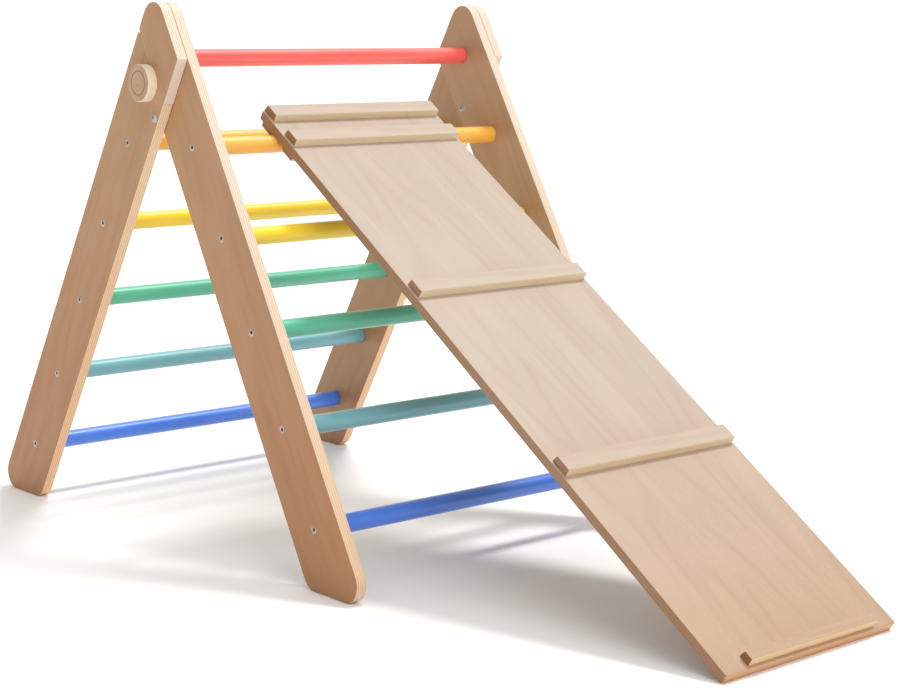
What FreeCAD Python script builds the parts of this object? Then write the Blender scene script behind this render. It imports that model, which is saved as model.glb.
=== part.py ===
import FreeCAD, Part
import math
import os

# Toddler slide: a folding climbing triangle of birch plywood with painted rungs, and a plywood slide
# board that hooks over the highest front rung and rests its lower end on the floor.
# Millimetres. +X is the way the slide runs down, +Y is the left of a child who sits at the top of it,
# +Z is up. The origin is on the floor, at the middle of the whole object's plan.

# ---- driving dimensions -------------------------------------------------------------------------
lean = math.radians(30.0)       # each leg leans this far from the vertical, so the apex angle is 60
apex_height = 865.0             # where the outer edges of front and rear legs would meet
ply = 18.0                      # thickness of legs and head blocks
leg_width = 116.0
leg_gap = 0.6                   # air between front leg and rear leg, held by the pivot washer
apex_round = 30.0
foot_round = 28.0
tip_round = 5.0
corner_round = 1.5
head_corner_round = 6.0         # rear corner of the front leg's head
arris = 1.6                     # easing of every long edge of the plywood
seam_offset = 71.0              # seam between head block and rear leg, from the front leg's outer edge

rung_span = 588.0               # between the inner faces of the front legs
rung_radius = 14.0
rung_ease = 1.0
rung_first = 253.5              # first rung, along the leg from the apex point
rung_pitch = 152.0
rung_colours = ("orange", "yellow", "green", "teal", "blue")

screw_head_radius = 6.0
screw_head_height = 3.2
screw_radius = 3.5
screw_length = 60.0
screw_socket = 5.0              # hexagon across flats
screw_socket_depth = 2.6

pivot_along, pivot_across = 180.0, 101.0     # hinge bolt, on the front leg
sleeve_radius = 5.0
pivot_fit = 0.06                # radial running clearance of the rear leg on the sleeve
pivot_head_radius = 8.0
pivot_head_height = 3.2
pivot_bolt_radius = 3.0
pivot_socket = 5.0
pivot_socket_depth = 2.0
pivot_washer_radius = 12.0
pivot_washer_height = 0.5
head_float = 0.3                # air under the hinge bolt's head and under the knob

knob_along, knob_across = 124.0, 92.5        # clamp knob, on the front leg
knob_radius = 29.0
knob_height = 16.0
knob_ease = 2.5
knob_ring_radius = 18.5
knob_ring_width = 1.1
knob_ring_depth = 0.7
knob_dimple_radius = 5.0
stud_radius = 4.0
stud_fit = 0.05
stud_in_knob = 11.0
stud_end_gap = 0.5              # left in the knob beyond the stud's end
slot_width = 9.0
slot_turn = 50.0                # degrees of arc cut about the pivot, past the leg's end
insert_radius = 6.0
leg_insert_length = 14.0
knob_insert_length = 11.5
washer_radius = 12.0
washer_height = 1.2
washer_bore = 4.3
washer_pocket = 12.3
washer_pocket_depth = 1.6

board_length = 1172.0
board_width = 340.0
board_thickness = 15.0
board_aside = 5.0               # the board hangs this far off the middle of the rungs
board_over_rung = 49.3          # upper end of the board to the rung's axis, along the board
board_rest_gap = 0.3
board_ground = 0.8              # how far the lower corner would reach below the floor, cut level with it
board_corner = 4.0
slat_width = 30.0
slat_height = 12.0
slat_bevel = 3.0
slat_ease = 1.2
slat_inset = 4.0
slat_lower_edges = (30.5, 94.5, 455.5, 822.5)    # along the board from its upper end
foot_slat_width = 17.0
foot_slat_lower_edge = 1167.5
foot_slat_length = 252.0
batten_depth = 10.0
batten_width = 37.0
batten_bevel = 3.0
batten_rung_bevel = 10.0
batten_from_rung = (-43.3, 16.7)     # start of each hook batten, along the board from the rung's axis
dowel_radius = 4.0
dowel_in_slat = 8.0
dowel_in_board = 9.0
dowel_in_batten = 7.0
dowel_side_step = 115.0
foot_dowel_side_step = 92.0

# ---- worked out from them -----------------------------------------------------------------------
V = FreeCAD.Vector
Y_AXIS = V(0, 1, 0)
sin_lean, cos_lean = math.sin(lean), math.cos(lean)
half_span = rung_span / 2
front_out = half_span + ply                      # outer face of the front legs
rear_in = front_out + leg_gap                    # inner face of the rear legs and head blocks' layer
rear_out = rear_in + ply
sides = (("right", -1), ("left", 1))

rung_drop = apex_height - rung_first * cos_lean - leg_width / 2 * sin_lean
rest_along = board_length - board_over_rung      # rung's axis to the lower end, along the board
rest_below = rung_radius + board_rest_gap        # rung's axis to the board's underside
board_angle = (math.asin((rung_drop + board_ground) / math.hypot(rest_along, rest_below))
               + math.atan2(rest_below, rest_along))
cos_board, sin_board = math.cos(board_angle), math.sin(board_angle)
rung_x = rung_first * sin_lean - leg_width / 2 * cos_lean
slat_reach = foot_slat_lower_edge - slat_ease - board_over_rung
slat_rise = rest_below + board_thickness + slat_height - slat_ease
board_reach = rung_x + slat_reach * cos_board + slat_rise * sin_board + slat_ease
rear_reach = apex_height * math.tan(lean) - foot_round / math.tan(math.radians(30.0)) + foot_round
apex_x = (rear_reach - board_reach) / 2          # puts the origin at the middle of the plan


# ---- places -------------------------------------------------------------------------------------
def on_leg(along, across, way=1):
    """X and Z of a point given along a leg from the apex point and across it from its outer edge.
    way is 1 on the front leg and -1 on the rear leg."""
    x = apex_x + way * (along * sin_lean - across * cos_lean)
    return x, apex_height - along * cos_lean - across * sin_lean


rung_places = [rung_first + i * rung_pitch for i in range(len(rung_colours))]
hook_x, hook_z = on_leg(rung_first, leg_width / 2)
pivot_x, pivot_z = on_leg(pivot_along, pivot_across)
knob_x, knob_z = on_leg(knob_along, knob_across)
crown_z = apex_height - leg_width                # level of the head's two side corners


def on_board(along, up, y=0.0):
    """A point given along the board from its upper end, up from its upper face, and across it."""
    a = along - board_over_rung
    h = up + board_thickness + rest_below
    return V(hook_x + a * cos_board + h * sin_board, board_aside + y, hook_z - a * sin_board + h * cos_board)


# ---- shapes -------------------------------------------------------------------------------------
def rounded_wire(corners):
    """A closed wire through corners given as (point, radius), each corner turned by an arc."""
    turns = []
    for i, (here, radius) in enumerate(corners):
        before = (corners[i - 1][0] - here).normalize()
        after = (corners[(i + 1) % len(corners)][0] - here).normalize()
        half = before.getAngle(after) / 2
        reach = radius / math.tan(half)
        middle = here + (before + after).normalize() * (radius / math.sin(half) - radius)
        turns.append((here + before * reach, middle, here + after * reach))
    path = []
    for i, (start, middle, stop) in enumerate(turns):
        path.append(Part.Arc(start, middle, stop).toShape())
        path.append(Part.LineSegment(stop, turns[(i + 1) % len(turns)][0]).toShape())
    return Part.Wire(path)


def plate(corners, y_in, y_out, way):
    """A plywood piece standing in the XZ plane between two distances from the middle, edges eased.
    corners are ((x, z), radius)."""
    wire = rounded_wire([(V(x, way * y_in, z), r) for (x, z), r in corners])
    body = Part.Face(wire).extrude(V(0, way * (y_out - y_in), 0))
    levels = (way * y_in, way * y_out)
    rim = [e for e in body.Edges
           if all(min(abs(v.Y - y) for y in levels) < 1e-6 for v in e.Vertexes)
           and abs(e.Vertexes[0].Y - e.Vertexes[-1].Y) < 1e-6]
    return body.makeFillet(arris, rim)


def rod(radius, x, z, y_from, y_to):
    """A round bar along Y."""
    low, high = min(y_from, y_to), max(y_from, y_to)
    return Part.makeCylinder(radius, high - low, V(x, low, z), Y_AXIS)


def hexagon(across_flats, x, z, y_from, y_to):
    """A six-sided bar along Y, for a key socket."""
    reach = across_flats / 2 / math.cos(math.radians(30.0))
    turns = [math.radians(60.0 * i) for i in range(7)]
    wire = Part.makePolygon([V(x + reach * math.cos(t), y_from, z + reach * math.sin(t)) for t in turns])
    return Part.Face(wire).extrude(V(0, y_to - y_from, 0))


def screw_body(x, z, face, way):
    """Outside of a countersunk screw, its head flush in the face and its shank pointing inwards."""
    inwards = V(0, -way, 0)
    at = V(x, way * face, z)
    head = Part.makeCone(screw_head_radius, screw_radius, screw_head_height, at, inwards)
    shank = Part.makeCylinder(screw_radius, screw_length, at, inwards)
    return head.fuse(shank).removeSplitter()


def screw(x, z, face, way):
    """The screw itself, with its hexagon socket."""
    socket = hexagon(screw_socket, x, z, way * face, way * (face - screw_socket_depth))
    return screw_body(x, z, face, way).cut(socket)


def dome(x, z, y, way, radius, height):
    """A low domed head standing outwards from y."""
    ball = (radius ** 2 + height ** 2) / (2 * height)
    turn = math.asin(radius / ball) / 2
    rim, top, foot = V(x + radius, y, z), V(x, y + way * height, z), V(x, y, z)
    crown = V(x + ball * math.sin(turn), y + way * (height - ball + ball * math.cos(turn)), z)
    edges = [Part.LineSegment(foot, rim), Part.Arc(rim, crown, top), Part.LineSegment(top, foot)]
    return Part.Face(Part.Wire([e.toShape() for e in edges])).revolve(foot, Y_AXIS, 360)


def rung(x, z, half_length):
    """A round rung along Y, its ends slightly eased."""
    bar = rod(rung_radius, x, z, -half_length, half_length)
    ends = [e for e in bar.Edges if isinstance(e.Curve, Part.Circle)]
    return bar.makeChamfer(rung_ease, ends)


def along_board(section, half_length):
    """A piece across the board, from a section of (along, up) points and its half length."""
    points = [on_board(a, h, -half_length) for a, h in section]
    return Part.Face(Part.makePolygon(points + points[:1])).extrude(V(0, 2 * half_length, 0))


def eased(body, radius, chosen):
    """body with the edges whose ends all satisfy chosen rounded."""
    edges = [e for e in body.Edges if all(chosen(v.Point) for v in e.Vertexes)]
    return body.makeFillet(radius, edges)


def height_on_board(point):
    """How far a point stands up from the board's upper face."""
    d = point - on_board(0, 0)
    return d.x * sin_board + d.z * cos_board


parts = {}

# ---- front frame: two legs with pointed heads, head blocks, six rungs ----------------------------
floor_out = (apex_x + apex_height * math.tan(lean), 0.0)
floor_in = (floor_out[0] - leg_width / cos_lean, 0.0)
apex = (apex_x, apex_height)
head_side = leg_width * math.tan(lean)
front_leg = ((apex, apex_round), (floor_out, foot_round), (floor_in, foot_round),
             ((apex_x - head_side, crown_z), head_corner_round))

seam_end = on_leg(seam_offset * math.tan(lean) + leg_width / cos_lean, seam_offset)
seam_top = on_leg(seam_offset * math.tan(lean), seam_offset)
head_block = ((apex, apex_round), ((apex_x + head_side, crown_z), corner_round),
              (seam_end, corner_round), (seam_top, corner_round))

rung_shapes = {}
for colour, along in zip(rung_colours, rung_places):
    for name, way, half in (("front", 1, half_span), ("rear", -1, rear_in)):
        x, z = on_leg(along, leg_width / 2, way)
        rung_shapes[name, colour] = rung(x, z, half)
rung_shapes["front", "top"] = rung(apex_x, crown_z, half_span)

front_screws, rear_screws = [], []
for side, way in sides:
    leg = plate(front_leg, half_span, front_out, way)
    places = [on_leg(along, leg_width / 2) for along in rung_places] + [(apex_x, crown_z)]
    for (x, z), colour in zip(places, rung_colours + ("top",)):
        hole = screw_body(x, z, front_out, way)
        leg = leg.cut(hole)
        rung_shapes["front", colour] = rung_shapes["front", colour].cut(hole)
        front_screws.append(screw(x, z, front_out, way))
    leg = leg.cut(rod(sleeve_radius, pivot_x, pivot_z, way * half_span, way * front_out))
    insert_in = front_out - leg_insert_length
    leg = leg.cut(rod(insert_radius, knob_x, knob_z, way * insert_in, way * front_out))
    parts[side + "_front_leg"] = leg
    parts[side + "_head_block"] = plate(head_block, front_out, rear_out, way)

    # Hinge of the fold: a sleeve nut from the inside and a domed bolt from the outside.
    under_head = rear_out + head_float
    sleeve = rod(sleeve_radius, pivot_x, pivot_z, way * half_span, way * under_head)
    sleeve = sleeve.fuse(dome(pivot_x, pivot_z, way * half_span, -way, pivot_head_radius, pivot_head_height))
    bolt_in = half_span + pivot_socket_depth
    thread = rod(pivot_bolt_radius, pivot_x, pivot_z, way * bolt_in, way * under_head)
    cap = dome(pivot_x, pivot_z, way * under_head, way, pivot_head_radius, pivot_head_height)
    cap_top = under_head + pivot_head_height
    cap_key = hexagon(pivot_socket, pivot_x, pivot_z, way * cap_top, way * (cap_top - pivot_socket_depth))
    sleeve_top = half_span - pivot_head_height
    sleeve_key = hexagon(pivot_socket, pivot_x, pivot_z, way * sleeve_top,
                         way * (sleeve_top + pivot_socket_depth))
    parts[side + "_hinge_sleeve"] = sleeve.cut(thread).cut(sleeve_key)
    parts[side + "_hinge_bolt"] = thread.fuse(cap).cut(cap_key)
    washer_out = front_out + pivot_washer_height
    washer = rod(pivot_washer_radius, pivot_x, pivot_z, way * front_out, way * washer_out)
    parts[side + "_pivot_washer"] = washer.cut(
        rod(sleeve_radius, pivot_x, pivot_z, way * half_span, way * rear_out))

    # Clamp: a stud in a threaded insert in the front leg, and a turned knob on it.
    stud_out = rear_out + head_float + stud_in_knob
    stud = rod(stud_radius, knob_x, knob_z, way * insert_in, way * stud_out)
    insert = rod(insert_radius, knob_x, knob_z, way * insert_in, way * front_out)
    parts[side + "_clamp_stud"] = stud
    parts[side + "_leg_insert"] = insert.cut(stud)

    knob_in = rear_out + head_float
    knob_out = knob_in + knob_height
    disc = rod(knob_radius, knob_x, knob_z, way * knob_in, way * knob_out)
    rims = [e for e in disc.Edges if isinstance(e.Curve, Part.Circle)]
    outer_rims = [e for e in rims if abs(abs(e.Curve.Center.y) - knob_out) < 1e-6]
    disc = disc.makeFillet(knob_ease, outer_rims)
    ring_floor = knob_out - knob_ring_depth
    ring_outer = knob_ring_radius + knob_ring_width / 2
    ring = rod(ring_outer, knob_x, knob_z, way * ring_floor, way * knob_out)
    ring = ring.cut(rod(ring_outer - knob_ring_width, knob_x, knob_z, way * ring_floor, way * knob_out))
    dimple = dome(knob_x, knob_z, way * knob_out, -way, knob_dimple_radius, knob_ring_depth)
    pocket = rod(washer_pocket, knob_x, knob_z, way * knob_in, way * (knob_in + washer_pocket_depth))
    socket_in = knob_in + washer_pocket_depth
    socket = rod(insert_radius, knob_x, knob_z, way * knob_in, way * (socket_in + knob_insert_length))
    parts[side + "_knob"] = disc.cut(ring).cut(dimple).cut(pocket).cut(socket)
    knob_insert = rod(insert_radius, knob_x, knob_z, way * socket_in, way * (socket_in + knob_insert_length))
    knob_bore = rod(stud_radius + stud_fit, knob_x, knob_z, way * knob_in, way * (stud_out + stud_end_gap))
    parts[side + "_knob_insert"] = knob_insert.cut(knob_bore)
    ring_low = rear_out + head_float / 3
    flat_ring = rod(washer_radius, knob_x, knob_z, way * ring_low, way * (ring_low + washer_height))
    parts[side + "_knob_washer"] = flat_ring.cut(
        rod(washer_bore, knob_x, knob_z, way * front_out, way * knob_out))

# ---- rear frame: two legs that end at the seam, five rungs --------------------------------------
rear_floor_out = (2 * apex_x - floor_out[0], 0.0)
rear_floor_in = (2 * apex_x - floor_in[0], 0.0)
rear_leg = ((seam_top, tip_round), (seam_end, corner_round), (rear_floor_in, foot_round),
            (rear_floor_out, foot_round))
swing = math.hypot(knob_x - pivot_x, knob_z - pivot_z)
stud_turn = math.degrees(math.atan2(knob_z - pivot_z, knob_x - pivot_x))
for side, way in sides:
    leg = plate(rear_leg, rear_in, rear_out, way)
    for colour, along in zip(rung_colours, rung_places):
        x, z = on_leg(along, leg_width / 2, -1)
        hole = screw_body(x, z, rear_out, way)
        leg = leg.cut(hole)
        rung_shapes["rear", colour] = rung_shapes["rear", colour].cut(hole)
        rear_screws.append(screw(x, z, rear_out, way))
    leg = leg.cut(rod(sleeve_radius + pivot_fit, pivot_x, pivot_z, way * front_out, way * (rear_out + 1)))
    # Open slot about the pivot, so that the stud leaves through the seam as the frame folds.
    y_low = min(way * (rear_in - 1), way * (rear_out + 1))
    outer = Part.makeCylinder(swing + slot_width / 2, ply + 2, V(pivot_x, y_low, pivot_z), Y_AXIS)
    inner = Part.makeCylinder(swing - slot_width / 2, ply + 2, V(pivot_x, y_low, pivot_z), Y_AXIS)
    reach = 2 * swing
    turns = [math.radians(stud_turn - slot_turn * i) for i in range(2)]
    fan = [V(pivot_x, y_low, pivot_z)]
    fan += [V(pivot_x + reach * math.cos(t), y_low, pivot_z + reach * math.sin(t)) for t in turns]
    wedge = Part.Face(Part.makePolygon(fan + fan[:1])).extrude(V(0, ply + 2, 0))
    slot = outer.cut(inner).common(wedge)
    slot = slot.fuse(rod(slot_width / 2, knob_x, knob_z, y_low, y_low + ply + 2))
    parts[side + "_rear_leg"] = leg.cut(slot)

for (frame, colour), shape in rung_shapes.items():
    name = "red_top_rung" if colour == "top" else colour + "_" + frame + "_rung"
    parts[name] = shape
parts["front_rung_screws"] = Part.makeCompound(front_screws)
parts["rear_rung_screws"] = Part.makeCompound(rear_screws)

# ---- slide board: panel, climbing slats on top, two hook battens below ---------------------------
panel = along_board(((0, 0), (board_length, 0), (board_length, -board_thickness), (0, -board_thickness)),
                    board_width / 2)
upright = [e for e in panel.Edges
           if len(e.Vertexes) == 2 and abs(e.Length - board_thickness) < 1e-6]
panel = panel.makeFillet(board_corner, upright)
lip = [e for e in panel.Edges
       if all(abs(height_on_board(v.Point)) < 1e-6 or abs(height_on_board(v.Point) + board_thickness) < 1e-6
              for v in e.Vertexes) and abs(height_on_board(e.Vertexes[0].Point)
                                           - height_on_board(e.Vertexes[-1].Point)) < 1e-6]
panel = panel.makeFillet(arris, lip)
ground = Part.makeBox(board_length, 2 * board_width, ply, V(0, -board_width, -ply))
panel = panel.cut(ground)

dowels = []


def dowel(along, low, high, y):
    """A round dowel square to the board."""
    axis = on_board(0, 1) - on_board(0, 0)
    return Part.makeCylinder(dowel_radius, high - low, on_board(along, low, y), axis)


def slat(lower_edge, width, half_length):
    """A climbing slat: square lower side, bevelled upper side, eased upper edges."""
    start = lower_edge - width
    body = along_board(((start, 0), (lower_edge, 0), (lower_edge, slat_height),
                        (start + slat_bevel, slat_height)), half_length)
    return eased(body, slat_ease, lambda p: abs(height_on_board(p) - slat_height) < 1e-6)


half_slat = board_width / 2 - slat_inset
slats = {}
for number, lower_edge in enumerate(slat_lower_edges, start=1):
    body = slat(lower_edge, slat_width, half_slat)
    slats["climbing_slat_%d" % number] = (body, lower_edge - slat_width / 2)
slats["foot_slat"] = (slat(foot_slat_lower_edge, foot_slat_width, foot_slat_length / 2),
                      foot_slat_lower_edge - foot_slat_width / 2)

battens = {}
for name, offset, rung_side in (("upper_hook_batten", batten_from_rung[0], 1),
                                ("lower_hook_batten", batten_from_rung[1], -1)):
    start = board_over_rung + offset
    stop = start + batten_width
    left = batten_rung_bevel if rung_side < 0 else batten_bevel
    right = batten_rung_bevel if rung_side > 0 else batten_bevel
    top, bottom = -board_thickness, -board_thickness - batten_depth
    outline = ((start, top), (stop, top), (stop - right, bottom), (start + left, bottom))
    body = along_board(outline, half_slat)
    battens[name] = eased(body, slat_ease, lambda p: abs(height_on_board(p) - bottom) < 1e-6)

for number, (name, (body, middle)) in enumerate(slats.items()):
    through = number < len(battens)
    low = -board_thickness - dowel_in_batten if through else -dowel_in_board
    side_step = foot_dowel_side_step if name == "foot_slat" else dowel_side_step
    for y in (-side_step, 0.0, side_step):
        pin = dowel(middle, low, dowel_in_slat, y)
        body, panel = body.cut(pin), panel.cut(pin)
        if through:
            batten = list(battens)[number]
            battens[batten] = battens[batten].cut(pin)
        dowels.append(pin)
    parts[name] = body
parts.update(battens)
parts["slide_panel"] = panel
parts["slat_dowels"] = Part.makeCompound(dowels)

# ---- files --------------------------------------------------------------------------------------
os.makedirs("parts", exist_ok=True)
for name, shape in parts.items():
    solids = shape.Solids
    if not solids or not shape.isValid():
        raise RuntimeError(name + " is not a sound solid")
    if name not in ("front_rung_screws", "rear_rung_screws", "slat_dowels"):
        assert len(solids) == 1, name + " has %d solids" % len(solids)
        shape = solids[0]
    shape.exportStep("parts/" + name + ".step")
print("%d nodes" % len(parts))
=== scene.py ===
import math

import bpy
from mathutils import Matrix, Vector


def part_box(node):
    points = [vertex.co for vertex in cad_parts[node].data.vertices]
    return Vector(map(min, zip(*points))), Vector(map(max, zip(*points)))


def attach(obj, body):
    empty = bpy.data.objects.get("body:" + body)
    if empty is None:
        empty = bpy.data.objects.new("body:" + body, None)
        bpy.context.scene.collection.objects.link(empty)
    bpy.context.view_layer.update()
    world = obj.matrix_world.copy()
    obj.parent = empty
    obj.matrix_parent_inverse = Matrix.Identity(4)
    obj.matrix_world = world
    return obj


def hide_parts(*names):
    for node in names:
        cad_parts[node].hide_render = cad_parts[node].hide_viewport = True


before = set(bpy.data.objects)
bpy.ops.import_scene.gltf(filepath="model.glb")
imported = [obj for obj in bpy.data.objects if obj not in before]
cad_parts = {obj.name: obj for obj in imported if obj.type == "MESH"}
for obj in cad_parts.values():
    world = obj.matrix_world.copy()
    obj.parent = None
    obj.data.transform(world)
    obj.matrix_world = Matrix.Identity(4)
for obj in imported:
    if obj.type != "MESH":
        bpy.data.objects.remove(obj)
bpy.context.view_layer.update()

# ---- Legs and head blocks -------------------------------------------------------------------------
# Four legs and two head blocks, sawn from 18 mm birch plywood with the grain of the face veneer along
# each leg, and given a clear matt lacquer. Real plies are too fine to show, so nine wider ones are drawn.
LEG_SHEET = 0.018
LEG_PLIES = 9
LEG_LEAN = math.radians(30)
LEG_FACE_SHADED = {"right": ("B98E65", "AC7F57", "C0956D"),    # veneer: middle, late wood, early wood; painted darker and warmer than the board's, as painted shade on the legs' sides
            "left": ("BC9873", "AF8A66", "C3A07C")}     # the same, drawn slightly greyer
LEG_EDGE = ("E4D6C5", "CDB08C", "A37C56", "E4D6C5")     # long grain, end grain, glue lines, sawn ends
# The rear legs' edges, painted paler and warmer than the front legs' as painted light bounced up from the
# floor.
REAR_LEG_EDGE_BOUNCE_LIT = ("F4D7B6", "DDB58A", "A37C56", "F4D7B6")
LEG_LOW_SHADE = (1.0, 0.750)                                # painted shade, darker and warmer low down: amount at the floor, height where it ends
# The tint that multiplies the colour as painted shade low down.
LOW_SHADE_TINT = "FAE7D4"
FIBRE_SIZE = (0.110, 0.0018, 0.0018)                    # along the grain, across it and through
CLOUD_SIZE = (0.300, 0.060, 0.060)
FLAME_SIZE = (0.620, 0.085, 0.085)
FLAME_LINES = 48.0                                      # radians of contour over the noise's range
FLECK_SIZE = (0.016, 0.0016, 0.0016)
FLECK = "9A7450"
PORE_SIZE = (0.0016, 0.0016, 0.0007)
SHEEN_SIZE = (0.080, 0.020, 0.020)


def linear(hex_colour):
    """An sRGB hex colour as the linear RGBA that a shader takes."""
    parts = [int(hex_colour[i:i + 2], 16) / 255 for i in (0, 2, 4)]
    return tuple(c / 12.92 if c <= 0.04045 else ((c + 0.055) / 1.055) ** 2.4 for c in parts) + (1.0,)


def add(tree, kind, inputs=None, **settings):
    """A new node in the tree, with its settings made and its inputs set or linked."""
    node = tree.nodes.new(kind)
    for name, value in settings.items():
        setattr(node, name, value)
    for name, value in (inputs or {}).items():
        if isinstance(value, bpy.types.NodeSocket):
            tree.links.new(value, node.inputs[name])
        else:
            node.inputs[name].default_value = value
    return node


def finish_named(name, roughness, ior=1.5, metallic=0.0):
    """A new material, its node tree and its shader, with the values that are the same all over."""
    material = bpy.data.materials.new(name)
    material.use_nodes = True
    tree = material.node_tree
    shader = tree.nodes["Principled BSDF"]
    shader.inputs["Roughness"].default_value = roughness
    shader.inputs["IOR"].default_value = ior
    shader.inputs["Metallic"].default_value = metallic
    return material, tree, shader


def maths(tree, operation, *values):
    """The result of a maths node on up to three numbers or sockets."""
    inputs = dict(enumerate(values))
    return add(tree, "ShaderNodeMath", inputs, operation=operation).outputs[0]


def mixed(tree, amount, first, second):
    """Two colours mixed by an amount from 0 to 1."""
    inputs = {"Factor": amount, 6: first, 7: second}
    return add(tree, "ShaderNodeMix", inputs, data_type="RGBA").outputs[2]


def ramp(tree, value, low, high, to_low=0.0, to_high=1.0):
    """A value eased from to_low at low to to_high at high."""
    inputs = {"Value": value, "From Min": low, "From Max": high, "To Min": to_low, "To Max": to_high}
    return add(tree, "ShaderNodeMapRange", inputs, interpolation_type="SMOOTHSTEP").outputs[0]


def stretched_noise(tree, place, sizes, detail=3.0):
    """Noise whose blotches have the given sizes in metres along the grain, across it and through."""
    scaled = add(tree, "ShaderNodeMapping", {"Vector": place, "Scale": [1 / s for s in sizes]})
    inputs = {"Vector": scaled.outputs[0], "Scale": 1.0, "Detail": detail}
    return add(tree, "ShaderNodeTexNoise", inputs).outputs[0]


def in_the_wood(tree, grain, through, corner):
    """Coordinates in metres along the grain, across it and through the sheet, from a corner of it."""
    axes = Matrix((grain, through.cross(grain), through)).transposed()
    inputs = {"Vector": add(tree, "ShaderNodeTexCoord").outputs["Object"],
              "Location": corner, "Rotation": axes.to_euler()}
    return add(tree, "ShaderNodeMapping", inputs, vector_type="TEXTURE").outputs[0]


def facing(tree, direction):
    """How squarely the surface faces along a direction, from 0 to 1, in the piece's own frame."""
    normal = add(tree, "ShaderNodeTexCoord").outputs["Normal"]
    inputs = {0: normal, 1: direction}
    dot = add(tree, "ShaderNodeVectorMath", inputs, operation="DOT_PRODUCT").outputs["Value"]
    return maths(tree, "ABSOLUTE", dot)


def shaded_low_down(tree, colour, low_shade):
    """The colour darkened and warmed low down, as painted shade for light that falls off towards the floor.
    The shade is given as how much of it there is at the floor, and the height in metres where none is left."""
    amount, reach = low_shade
    height = add(tree, "ShaderNodeSeparateXYZ", {
        "Vector": add(tree, "ShaderNodeTexCoord").outputs["Object"]}).outputs["Z"]
    low_down = ramp(tree, height, 0.0, reach, amount, 0.0)
    inputs = {"Factor": low_down, 6: colour, 7: linear(LOW_SHADE_TINT)}
    return add(tree, "ShaderNodeMix", inputs, data_type="RGBA", blend_type="MULTIPLY").outputs[2]


def surface(tree, shader, colour, roughness, relief, strength, depth):
    """Gives the shader its colour, its roughness and a relief that is as deep as depth in metres."""
    bump = add(tree, "ShaderNodeBump", {"Height": relief, "Strength": strength, "Distance": depth})
    tree.links.new(colour, shader.inputs["Base Color"])
    tree.links.new(roughness, shader.inputs["Roughness"])
    tree.links.new(bump.outputs[0], shader.inputs["Normal"])


def veneer_colour(tree, place, colours):
    """Rotary-cut birch veneer: faint flame contours, fine fibre streaks and slow clouding.
    Fibres are about 0.4 mm wide, too fine to show, so they are drawn 1.8 mm wide."""
    middle, late, early = (linear(c) for c in colours)
    fibres = stretched_noise(tree, place, FIBRE_SIZE, 4.0)
    clouds = stretched_noise(tree, place, CLOUD_SIZE, 2.0)
    height = stretched_noise(tree, place, FLAME_SIZE, 0.0)
    contour = maths(tree, "SINE", maths(tree, "MULTIPLY", height, FLAME_LINES))
    flame = mixed(tree, ramp(tree, contour, 0.2, 1.0, 0.0, 0.32), middle, late)
    clouded = mixed(tree, ramp(tree, clouds, 0.40, 0.68, 0.0, 0.60), flame, early)
    colour = mixed(tree, ramp(tree, fibres, 0.46, 0.74, 0.0, 0.42), clouded, late)
    flecks = stretched_noise(tree, place, FLECK_SIZE, 1.0)
    return mixed(tree, ramp(tree, flecks, 0.765, 0.80, 0.0, 0.45), colour, linear(FLECK)), fibres


def birch_plywood(name, grain, through, corner, sheet, plies, face, edge, low_shade):
    """Lacquered birch plywood: a calm matt veneer on both faces, and stripes of ply on the edges, where
    every other ply shows its rougher, darker end grain and glue lines run between them. Real pores are
    too fine to show, so they are drawn 1.6 mm long."""
    material, tree, shader = finish_named(name, 0.46)
    place = in_the_wood(tree, grain, through, corner)
    depth = add(tree, "ShaderNodeSeparateXYZ", {"Vector": place}).outputs["Z"]
    layer = maths(tree, "DIVIDE", depth, sheet / plies)
    odd = maths(tree, "ROUND", maths(tree, "MODULO", maths(tree, "FLOOR", layer), 2.0))
    end_cut = ramp(tree, facing(tree, grain), 0.60, 0.80)
    crossed = maths(tree, "ABSOLUTE", maths(tree, "SUBTRACT", odd, end_cut))
    pores = stretched_noise(tree, place, PORE_SIZE, 2.0)
    pale, dark, glue, sawn = (linear(c) for c in edge)
    end_grain = mixed(tree, ramp(tree, pores, 0.40, 0.70, 0.0, 0.5), dark, glue)
    plies_colour = mixed(tree, maths(tree, "MULTIPLY", crossed, 0.42), pale, end_grain)
    off_middle = maths(tree, "ABSOLUTE", maths(tree, "SUBTRACT", maths(tree, "FRACT", layer), 0.5))
    plies_colour = mixed(tree, ramp(tree, off_middle, 0.40, 0.49, 0.0, 0.36), plies_colour, glue)
    plies_colour = mixed(tree, maths(tree, "MULTIPLY", end_cut, 0.6), plies_colour, sawn)
    veneer, fibres = veneer_colour(tree, place, face)
    flat = ramp(tree, facing(tree, through), 0.45, 0.85)
    colour = mixed(tree, flat, plies_colour, veneer)
    rubbed = maths(tree, "MULTIPLY", flat, maths(tree, "SUBTRACT", 1.0, flat))
    sheen = ramp(tree, stretched_noise(tree, place, SHEEN_SIZE, 3.0), 0.35, 0.65, 0.40, 0.52)
    rough = maths(tree, "ADD", sheen, maths(tree, "MULTIPLY", rubbed, 0.5))
    open_pores = maths(tree, "MULTIPLY", maths(tree, "MULTIPLY", pores, crossed), 0.6)
    relief = maths(tree, "ADD", fibres, open_pores)
    # Painted shade: the colour is darkened and warmed low down.
    surface(tree, shader, shaded_low_down(tree, colour, low_shade), rough, relief, 0.35, 0.0003)
    return material


def cover(node_name, material):
    """Gives a CAD node one material."""
    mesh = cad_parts[node_name].data
    mesh.materials.clear()
    mesh.materials.append(material)


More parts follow.
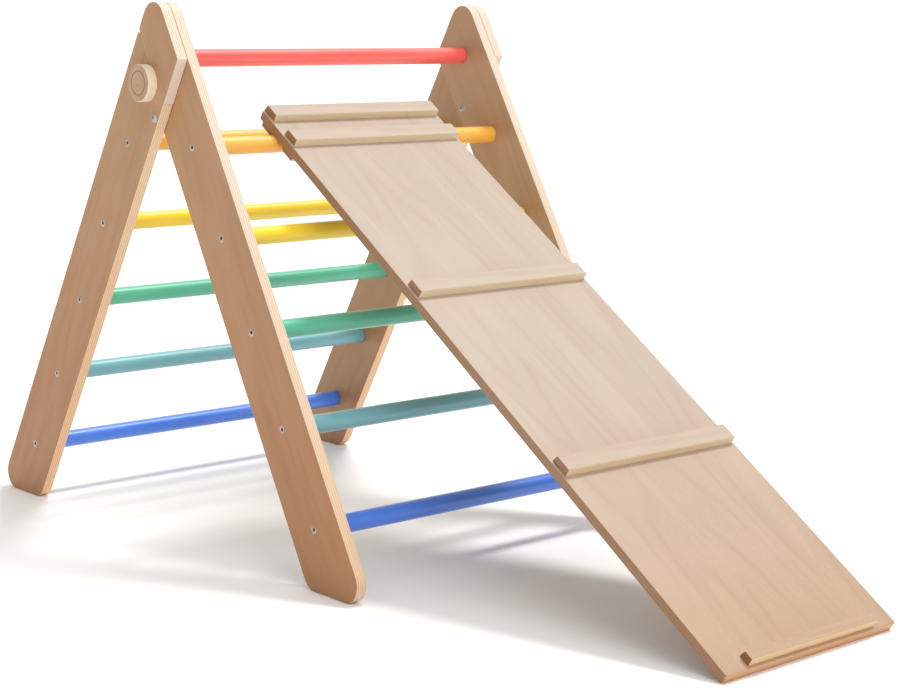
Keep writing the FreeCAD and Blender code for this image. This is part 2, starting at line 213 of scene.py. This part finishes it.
for side, out in (("right", -1), ("left", 1)):
    for piece, way, edge in (("front_leg", 1, LEG_EDGE), ("head_block", 1, LEG_EDGE),
                             ("rear_leg", -1, REAR_LEG_EDGE_BOUNCE_LIT)):
        node = side + "_" + piece
        low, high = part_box(node)
        inner_corner = Vector((low.x, high.y if out < 0 else low.y, low.z))
        down = Vector((way * math.sin(LEG_LEAN), 0, -math.cos(LEG_LEAN)))
        ply = birch_plywood("birch_plywood_" + node, down, Vector((0, out, 0)), inner_corner,
                            LEG_SHEET, LEG_PLIES, LEG_FACE_SHADED[side], edge, LEG_LOW_SHADE)
        cover(node, ply)

# ---- Rungs ----------------------------------------------------------------------------------------
# Eleven 28 mm beech dowels, sprayed with satin paint, one colour to each height. They butt against the
# inner faces of the legs, so only a fine eased line shows at each end.
PAINTS = {"red": "FA645B", "orange": "FFBB4D", "yellow": "FBDA2E",
          "green": "58BF9F", "teal": "74B4BE", "blue": "4681EE"}
RUNG_EASE = 0.001
RUNG_SIDES = 48
SHARP_FROM = math.radians(35)       # edges that turn by more than this stay sharp
RUNG_FIBRE_SIZE = (0.090, 0.0020, 0.0020)
PAINT_COAT_SIZE = (0.180, 0.020, 0.020)
ORANGE_PEEL_SIZE = (0.0022, 0.0022, 0.0022)
DEEP_PAINT = 0.86       # how bright the paint is over a fibre
PALE_PAINT = 0.10       # how far towards white it is where the coat is thin


def sprayed_beech(name, paint):
    """Satin paint sprayed on a dowel: even colour, a very fine orange peel, slow changes where the coat
    is thinner, and long fibres that show faintly through, drawn 2 mm wide so that they can be seen."""
    material, tree, shader = finish_named(name, 0.36)
    shader.inputs["Coat Weight"].default_value = 0.6
    shader.inputs["Coat Roughness"].default_value = 0.38
    place = in_the_wood(tree, Vector((0, 1, 0)), Vector((0, 0, 1)), Vector((0, 0, 0)))
    fibres = stretched_noise(tree, place, RUNG_FIBRE_SIZE, 4.0)
    coat = stretched_noise(tree, place, PAINT_COAT_SIZE, 1.0)
    base = linear(paint)
    deep = tuple(c * DEEP_PAINT for c in base[:3]) + (1.0,)
    pale = tuple(c + (1 - c) * PALE_PAINT for c in base[:3]) + (1.0,)
    colour = mixed(tree, ramp(tree, fibres, 0.52, 0.76, 0.0, 0.22), base, deep)
    colour = mixed(tree, ramp(tree, coat, 0.40, 0.75, 0.0, 0.35), colour, pale)
    rough = ramp(tree, coat, 0.35, 0.70, 0.31, 0.41)
    peel = stretched_noise(tree, place, ORANGE_PEEL_SIZE, 1.0)
    relief = maths(tree, "ADD", maths(tree, "MULTIPLY", peel, 0.35), fibres)
    surface(tree, shader, colour, rough, relief, 0.25, 0.0002)
    return material


def sizes_tree(name, sockets):
    """A geometry tree with named inputs for its sizes, and its input and output nodes."""
    tree = bpy.data.node_groups.new(name, "GeometryNodeTree")
    tree.interface.new_socket("Geometry", in_out="OUTPUT", socket_type="NodeSocketGeometry")
    tree.interface.new_socket("Geometry", in_out="INPUT", socket_type="NodeSocketGeometry")
    for label, kind in sockets:
        tree.interface.new_socket(label, in_out="INPUT", socket_type="NodeSocket" + kind)
    return tree, add(tree, "NodeGroupInput").outputs, add(tree, "NodeGroupOutput")


def grown(name, seed_mesh, tree, sizes):
    """The plain mesh that a geometry tree grows, smooth where it is round."""
    seed = bpy.data.objects.new(name + "_seed", seed_mesh)
    bpy.context.scene.collection.objects.link(seed)
    modifier = seed.modifiers.new("grow", "NODES")
    modifier.node_group = tree
    for item in tree.interface.items_tree:
        if item.in_out == "INPUT" and item.name in sizes:
            modifier[item.identifier] = sizes[item.name]
    evaluated = seed.evaluated_get(bpy.context.evaluated_depsgraph_get())
    mesh = bpy.data.meshes.new_from_object(evaluated)
    seed.modifiers.remove(modifier)
    bpy.data.objects.remove(seed)
    mesh.shade_smooth()
    mesh.set_sharp_from_angle(angle=SHARP_FROM)
    piece = bpy.data.objects.new(name, mesh)
    bpy.context.scene.collection.objects.link(piece)
    return piece


def dowel_tree():
    """A dowel along Y, from five rings, with both ends eased."""
    tree, given, out = sizes_tree("turned_dowel", (
        ("Radius", "Float"), ("Length", "Float"), ("Ease", "Float"), ("Sides", "Int"),
        ("Place", "Vector"), ("Finish", "Material")))
    last_ring = 4
    line = add(tree, "GeometryNodeCurvePrimitiveLine", {"End": (0, 1, 0)})
    rings = add(tree, "GeometryNodeResampleCurve", {"Curve": line.outputs[0], "Count": last_ring + 1})
    ring = add(tree, "GeometryNodeInputIndex").outputs[0]
    offset = maths(tree, "SUBTRACT", maths(tree, "DIVIDE", ring, last_ring), 0.5)
    outermost = maths(tree, "GREATER_THAN", maths(tree, "ABSOLUTE", offset), 0.4)
    inset = maths(tree, "MULTIPLY", given["Ease"], maths(tree, "SUBTRACT", 1.0, outermost))
    reach = maths(tree, "SUBTRACT", maths(tree, "DIVIDE", given["Length"], 2.0), inset)
    along = maths(tree, "MULTIPLY", maths(tree, "SIGN", offset), reach)
    spread = add(tree, "ShaderNodeCombineXYZ", {"Y": along})
    placed = add(tree, "GeometryNodeSetPosition", {
        "Geometry": rings.outputs[0], "Position": spread.outputs[0]})
    radius = maths(tree, "SUBTRACT", given["Radius"], maths(tree, "MULTIPLY", given["Ease"], outermost))
    circle = add(tree, "GeometryNodeCurvePrimitiveCircle", {"Resolution": given["Sides"], "Radius": 1.0})
    solid = add(tree, "GeometryNodeCurveToMesh", {
        "Curve": placed.outputs[0], "Profile Curve": circle.outputs[0], "Scale": radius, "Fill Caps": True})
    moved = add(tree, "GeometryNodeTransform", {
        "Geometry": solid.outputs[0], "Translation": given["Place"]})
    painted = add(tree, "GeometryNodeSetMaterial", {
        "Geometry": moved.outputs[0], "Material": given["Finish"]})
    tree.links.new(painted.outputs[0], out.inputs[0])
    return tree


turned_dowel = dowel_tree()
rung_places = {"front": [], "rear": []}
for colour, paint in PAINTS.items():
    finish = sprayed_beech("sprayed_beech_" + colour, paint)
    for node, body in ((colour + "_front_rung", "front"), (colour + "_rear_rung", "rear"),
                       (colour + "_top_rung", "front")):
        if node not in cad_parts:
            continue
        low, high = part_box(node)
        middle = (low + high) / 2
        rung_places[body].append(middle)
        rung = grown(node + "_painted", bpy.data.meshes.new("none"), turned_dowel, {
            "Radius": (high.x - low.x) / 2, "Length": high.y - low.y, "Ease": RUNG_EASE,
            "Sides": RUNG_SIDES, "Place": middle, "Finish": finish})
        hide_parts(node)
        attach(rung, body + "_frame")

# ---- Rung screws ----------------------------------------------------------------------------------
# Twenty-two countersunk furniture screws, bright zinc plated, one through each leg into the end of each
# rung. Their heads sit flush and their key sockets stop at whatever angle the key left them.
SCREW_HEAD = 0.0060         # radius, as the shank's is
SCREW_SINK = 0.0032
SCREW_SHANK = 0.0035
SCREW_LENGTH = 0.060
HEAD_EASE = 0.0001
SOCKET_FLATS = 0.0050
SOCKET_DEPTH = 0.0026
SOCKET_FLARE = 0.0004       # how much wider its mouth is on each side
SOCKET_LEAD = 0.0003        # how deep the flare runs
SOCKET_POINT = 0.0005       # how deep the drill's point went beyond the flats
SOCKET_SEED = 7             # for the angles that the sockets stop at
SCREW_SIDES = 36
ZINC, ZINC_OXIDE, ZINC_SOCKET_SHADE = "C9C3BD", "AFA9A3", "77675A"
ZINC_ROUGHNESS = 0.45
ZINC_CLOUD_SIZE = (0.004, 0.004, 0.004)
ZINC_GRIT_SIZE = (0.0006, 0.0006, 0.0006)


def zinc_plate(name, roughness, face=0.0):
    """Bright zinc plate, a little dulled: a pale metal, softly mirrored and clouded by a thin white oxide
    film. On a screw it is painted darker down in the socket, below the face that the head is flush with, as
    painted shade in the recess."""
    material, tree, shader = finish_named(name, roughness, metallic=0.6)
    place = add(tree, "ShaderNodeTexCoord").outputs["Object"]
    cloud = stretched_noise(tree, place, ZINC_CLOUD_SIZE, 3.0)
    colour = mixed(tree, ramp(tree, cloud, 0.35, 0.65), linear(ZINC), linear(ZINC_OXIDE))
    if face:
        # Painted shade down in the key socket.
        depth = add(tree, "ShaderNodeSeparateXYZ", {"Vector": place}).outputs["Y"]
        socket_shade = ramp(tree, maths(tree, "ABSOLUTE", depth), face - SOCKET_DEPTH / 3, face, 1.0, 0.0)
        colour = mixed(tree, socket_shade, colour, linear(ZINC_SOCKET_SHADE))
    rough = ramp(tree, cloud, 0.3, 0.7, roughness - 0.06, roughness + 0.08)
    grit = stretched_noise(tree, place, ZINC_GRIT_SIZE, 2.0)
    surface(tree, shader, colour, rough, grit, 0.15, 0.0001)
    return material


def ringed_mesh(name, rings, sides):
    """A closed mesh about Z from rings given as (radius, height, six-sided or round)."""
    points, faces = [], []
    for radius, height, six_sided in rings:
        for i in range(sides):
            turn = 2 * math.pi * i / sides
            part = turn % (math.pi / 3) - math.pi / 6
            r = radius / math.cos(part) if six_sided else radius
            points.append((r * math.cos(turn), r * math.sin(turn), height))
    for k in range(len(rings) - 1):
        for i in range(sides):
            a, b = k * sides + i, k * sides + (i + 1) % sides
            faces.append((a, b, b + sides, a + sides))
    faces.append(tuple(reversed(range(sides))))
    faces.append(tuple(range((len(rings) - 1) * sides, len(rings) * sides)))
    mesh = bpy.data.meshes.new(name)
    mesh.from_pydata(points, [], faces)
    return mesh


def screw_tree():
    """Screws on points, each facing out along Y and turned by its own angle."""
    tree, given, out = sizes_tree("rung_screws", (
        ("Screw", "Object"), ("Seed", "Int"), ("Finish", "Material")))
    one = add(tree, "GeometryNodeObjectInfo", {"Object": given["Screw"]})
    way = add(tree, "GeometryNodeInputNamedAttribute", {"Name": "outward"}, data_type="FLOAT_VECTOR")
    face_out = add(tree, "FunctionNodeAlignRotationToVector", {"Vector": way.outputs[0]}, axis="Z")
    spin = add(tree, "FunctionNodeRandomValue", {
        "Seed": given["Seed"], "Max": math.pi / 3}, data_type="FLOAT")
    turn = add(tree, "ShaderNodeCombineXYZ", {"Z": spin.outputs[1]})
    turned = add(tree, "FunctionNodeRotateRotation", {
        "Rotation": face_out.outputs[0], "Rotate By": turn.outputs[0]}, rotation_space="LOCAL")
    placed = add(tree, "GeometryNodeInstanceOnPoints", {
        "Points": given["Geometry"], "Instance": one.outputs["Geometry"], "Rotation": turned.outputs[0]})
    real = add(tree, "GeometryNodeRealizeInstances", {"Geometry": placed.outputs[0]})
    plated = add(tree, "GeometryNodeSetMaterial", {
        "Geometry": real.outputs[0], "Material": given["Finish"]})
    tree.links.new(plated.outputs[0], out.inputs[0])
    return tree


half_flats = SOCKET_FLATS / 2
screw_rings = (
    (SCREW_SHANK * 0.3, -SCREW_LENGTH, False),                  # blunt tip
    (SCREW_SHANK, -SCREW_LENGTH * 0.94, False),                 # plain shank
    (SCREW_SHANK, -SCREW_SINK, False),
    (SCREW_HEAD * 0.985, -HEAD_EASE, False),                    # countersunk head with an eased rim
    (SCREW_HEAD * 0.955, 0.0, False),
    (half_flats + SOCKET_FLARE, 0.0, False),                    # key socket
    (half_flats, -SOCKET_LEAD, True),
    (half_flats, -SOCKET_DEPTH, True),
    (half_flats * 0.3, -SOCKET_DEPTH - SOCKET_POINT, False))
screw = bpy.data.objects.new("one_screw", ringed_mesh("one_screw", screw_rings, SCREW_SIDES))
bpy.context.scene.collection.objects.link(screw)
rung_screws = screw_tree()
for body, outer_node in (("front", "right_front_leg"), ("rear", "right_rear_leg")):
    face = -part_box(outer_node)[0].y
    points = bpy.data.meshes.new(body + "_screw_places")
    places = [(p.x, s * face, p.z) for p in rung_places[body] for s in (-1, 1)]
    points.from_pydata(places, [], [])
    outward = points.attributes.new("outward", "FLOAT_VECTOR", "POINT")
    for item, place in zip(outward.data, places):
        item.vector = (0, math.copysign(1, place[1]), 0)
    plate = zinc_plate("bright_zinc_plate_" + body, ZINC_ROUGHNESS, face)
    group = grown(body + "_rung_screws_plated", points, rung_screws, {
        "Screw": screw, "Seed": SOCKET_SEED, "Finish": plate})
    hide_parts(body + "_rung_screws")
    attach(group, body + "_frame")
bpy.data.objects.remove(screw)

# ---- Fold hinges and clamps -----------------------------------------------------------------------
# On each side a domed bolt in a sleeve nut is the pivot of the fold, and a turned beech knob on a steel
# stud clamps the rear leg to the front leg. The knobs' threads run in brass inserts.
KNOB_FACE = ("C09A78", "B08866", "CCA887")
KNOB_RIM = "EFE0CB"
KNOB_RIM_SHADE = "DDBE98"
KNOB_RIM_BAND = 0.0012      # how far in from the rim the paler wood starts
KNOB_RING = 0.0185          # radius of the turned ring
KNOB_GROOVE_SHADE = 0.0009        # how far the painted shade in the ring's groove spreads to each side of it
RING_GROOVE_SHADE = "6B4A30"
DOME_ROUGHNESS = 0.58
BRASS, BRASS_SHADE = "CFAE5E", "B08E45"
BRASS_MARK_SIZE = (0.006, 0.0004, 0.006)


def turned_beech(name, centre, radius):
    """Turned and lacquered beech: fine fibres along the rear leg, a paler rim, and a turned ring whose
    groove is painted dark brown, as painted shade."""
    material, tree, shader = finish_named(name, 0.42)
    up_rear_leg = Vector((math.sin(LEG_LEAN), 0, math.cos(LEG_LEAN)))
    place = in_the_wood(tree, up_rear_leg, Vector((0, 1, 0)), centre)
    face, fibres = veneer_colour(tree, place, KNOB_FACE)
    across = add(tree, "ShaderNodeSeparateXYZ", {"Vector": place}).outputs
    square_x, square_y = (maths(tree, "POWER", across[axis], 2.0) for axis in "XY")
    from_axis = maths(tree, "SQRT", maths(tree, "ADD", square_x, square_y))
    outside = ramp(tree, from_axis, radius - KNOB_RIM_BAND, radius - KNOB_RIM_BAND / 2)
    rim = mixed(tree, ramp(tree, fibres, 0.4, 0.7, 0.0, 0.35), linear(KNOB_RIM), linear(KNOB_RIM_SHADE))
    colour = mixed(tree, outside, face, rim)
    # Painted shade along the turned ring's groove.
    off_ring = maths(tree, "ABSOLUTE", maths(tree, "SUBTRACT", from_axis, KNOB_RING))
    groove_shade = ramp(tree, off_ring, KNOB_GROOVE_SHADE / 2, KNOB_GROOVE_SHADE, 0.75, 0.0)
    colour = mixed(tree, groove_shade, colour, linear(RING_GROOVE_SHADE))
    surface(tree, shader, colour, ramp(tree, fibres, 0.3, 0.7, 0.38, 0.50), fibres, 0.3, 0.0002)
    return material


def brass(name):
    """Plain turned brass: a warm metal with fine tool marks that roughen it."""
    material, tree, shader = finish_named(name, 0.34, metallic=1.0)
    place = add(tree, "ShaderNodeTexCoord").outputs["Object"]
    marks = stretched_noise(tree, place, BRASS_MARK_SIZE, 2.0)
    colour = mixed(tree, ramp(tree, marks, 0.3, 0.7), linear(BRASS), linear(BRASS_SHADE))
    tree.links.new(colour, shader.inputs["Base Color"])
    tree.links.new(ramp(tree, marks, 0.3, 0.7, 0.28, 0.42), shader.inputs["Roughness"])
    return material


zinc = zinc_plate("bright_zinc_plate", ZINC_ROUGHNESS)
domed_zinc = zinc_plate("bright_zinc_plate_domed", DOME_ROUGHNESS)
turned_brass = brass("turned_brass")
for side in ("right", "left"):
    for piece in ("hinge_sleeve", "hinge_bolt"):
        cover(side + "_" + piece, domed_zinc)
    for piece in ("pivot_washer", "clamp_stud", "knob_washer"):
        cover(side + "_" + piece, zinc)
    for piece in ("leg_insert", "knob_insert"):
        cover(side + "_" + piece, turned_brass)
    low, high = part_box(side + "_knob")
    cover(side + "_knob", turned_beech("turned_beech_" + side, (low + high) / 2, (high.z - low.z) / 2))

# ---- Slide board ----------------------------------------------------------------------------------
# A 15 mm birch plywood panel with the grain down the slide and seven plies drawn, wider than real ones,
# so that they show. Four climbing slats and a short foot slat on one face and two hook battens on the
# other are solid birch, glued and dowelled.
BOARD_SHEET = 0.015
BOARD_PLIES = 7
# Painted shade on the board, darker and warmer towards its foot: amount at the floor, height where it ends.
BOARD_LOW_SHADE = (1.0, 0.300)
BOARD_FACE = ("B4A190", "AA9580", "BCAA99")
# The board's edges, long grain, end grain, glue lines and sawn ends: the first three painted much darker
# than the legs' edges, as painted shade on the board's sides.
BOARD_EDGE_SHADED = ("AC8868", "966F4E", "785436", "E8C096")
SLAT_WOOD = ("B7A593", "AC9782", "C0B09F")
SLAT_END = "A67F5E"
SLAT_END_PORES = "936C4B"
SLAT_EDGE = "DDC8A8"
SLAT_PORE_SIZE = (0.0018, 0.0010, 0.0010)

panel_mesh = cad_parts["slide_panel"].data
largest = max(panel_mesh.polygons, key=lambda p: p.area)
out_of_board = largest.normal if largest.normal.z > 0 else -largest.normal
down_board = Vector((out_of_board.z, 0, -out_of_board.x))
on_the_face = max((v.co for v in panel_mesh.vertices), key=lambda co: co.dot(out_of_board))
board_ply = birch_plywood("birch_plywood_board", down_board, -out_of_board, on_the_face,
                          BOARD_SHEET, BOARD_PLIES, BOARD_FACE, BOARD_EDGE_SHADED, BOARD_LOW_SHADE)
cover("slide_panel", board_ply)


def solid_birch(name, grain, through, corner):
    """Planed and lacquered solid birch: fibres along the slat, paler wood on its narrow edges, and
    darker end grain with open pores, drawn 1 mm wide so that they show."""
    material, tree, shader = finish_named(name, 0.46)
    place = in_the_wood(tree, grain, through, corner)
    face, fibres = veneer_colour(tree, place, SLAT_WOOD)
    pores = stretched_noise(tree, place, SLAT_PORE_SIZE, 2.0)
    end = mixed(tree, ramp(tree, pores, 0.4, 0.7), linear(SLAT_END), linear(SLAT_END_PORES))
    narrow_edge = ramp(tree, facing(tree, through.cross(grain)), 0.60, 0.90)
    face = mixed(tree, narrow_edge, face, linear(SLAT_EDGE))
    cut = ramp(tree, facing(tree, grain), 0.75, 0.95)
    # Painted shade: the colour is darkened and warmed low down, as on the legs.
    colour = shaded_low_down(tree, mixed(tree, cut, face, end), BOARD_LOW_SHADE)
    surface(tree, shader, colour, ramp(tree, fibres, 0.3, 0.7, 0.41, 0.54), fibres, 0.3, 0.0003)
    return material


slat_nodes = ["climbing_slat_%d" % i for i in range(1, 5)]
slat_nodes += ["foot_slat", "upper_hook_batten", "lower_hook_batten"]
for node in slat_nodes:
    cover(node, solid_birch("solid_birch_" + node, Vector((0, 1, 0)), out_of_board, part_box(node)[0]))
cover("slat_dowels", solid_birch("solid_birch_dowels", out_of_board, down_board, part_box("slat_dowels")[0]))

# ---- Floor, light and camera ----------------------------------------------------------------------
# A plain pale studio floor, a small high lamp over the far side, a large soft one beyond the foot of the
# slide, a bright ceiling, and a dim room with one white backdrop.
FLOOR_HALF = 400.0          # far enough out for its edge to lie at the horizon
FLOOR_WHITE = "F9F9F9"
LAMP_WHITE = "FFFEFC"
LAMPS = (("high_lamp", 1.95, 14, (0.08, 0.36, 0.93)),       # strength, spread in degrees, the way to it
         ("low_lamp", 1.15, 40, (0.80, -0.12, 0.59)))
ROOM_GLOW = 0.16
CEILING_GLOW = 0.78         # what the ceiling adds to the room's
BACKDROP_GLOW = 1.15
BACKDROP_WAY = (-0.755, 0.655, 0.0)
CAMERA_PLACE = (2.3078, -1.9661, 0.8071)
CAMERA_LENS = 79.03
CAMERA_SHIFT = -0.1604
CAMERA_BEARING = math.radians(139.091)
CAMERA_DIP = math.radians(-5.147)
CAMERA_ROLL = math.radians(0.30)

floor_mesh = bpy.data.meshes.new("floor")
corners = [(x * FLOOR_HALF, y * FLOOR_HALF, 0) for x, y in ((-1, -1), (1, -1), (1, 1), (-1, 1))]
floor_mesh.from_pydata(corners, [], [(0, 1, 2, 3)])
floor = bpy.data.objects.new("floor", floor_mesh)
bpy.context.scene.collection.objects.link(floor)
floor_paint, _, floor_shader = finish_named("matt_white_floor", 0.85)
floor_shader.inputs["Base Color"].default_value = linear(FLOOR_WHITE)
floor_mesh.materials.append(floor_paint)

for lamp_name, strength, spread, toward in LAMPS:
    light = bpy.data.lights.new(lamp_name, "SUN")
    light.energy = strength
    light.angle = math.radians(spread)
    light.color = linear(LAMP_WHITE)[:3]
    lamp = bpy.data.objects.new(lamp_name, light)
    lamp.rotation_euler = Vector(toward).to_track_quat("Z", "Y").to_euler()
    bpy.context.scene.collection.objects.link(lamp)

world = bpy.data.worlds.new("studio")
bpy.context.scene.world = world
world.use_nodes = True
sky = world.node_tree
direction = add(sky, "ShaderNodeTexCoord").outputs["Generated"]
height = add(sky, "ShaderNodeSeparateXYZ", {"Vector": direction}).outputs["Z"]
behind = add(sky, "ShaderNodeVectorMath", {0: direction, 1: BACKDROP_WAY}, operation="DOT_PRODUCT")
overhead = ramp(sky, height, 0.35, 0.95, 0.0, CEILING_GLOW)
backdrop = ramp(sky, behind.outputs["Value"], 0.45, 0.90, 0.0, BACKDROP_GLOW)
glow = maths(sky, "MAXIMUM", maths(sky, "ADD", overhead, ROOM_GLOW), backdrop)
sky.links.new(glow, sky.nodes["Background"].inputs["Strength"])
sky.nodes["Background"].inputs["Color"].default_value = linear("FFFFFF")

camera_data = bpy.data.cameras.new("camera")
camera_data.lens = CAMERA_LENS
camera_data.shift_y = CAMERA_SHIFT
camera = bpy.data.objects.new("camera", camera_data)
aimed = (Matrix.Rotation(CAMERA_BEARING - math.pi / 2, 4, "Z")
         @ Matrix.Rotation(math.pi / 2 + CAMERA_DIP, 4, "X") @ Matrix.Rotation(CAMERA_ROLL, 4, "Z"))
camera.matrix_world = Matrix.Translation(CAMERA_PLACE) @ aimed
bpy.context.scene.collection.objects.link(camera)
bpy.context.scene.camera = camera
bpy.context.scene.view_settings.view_transform = "Standard"
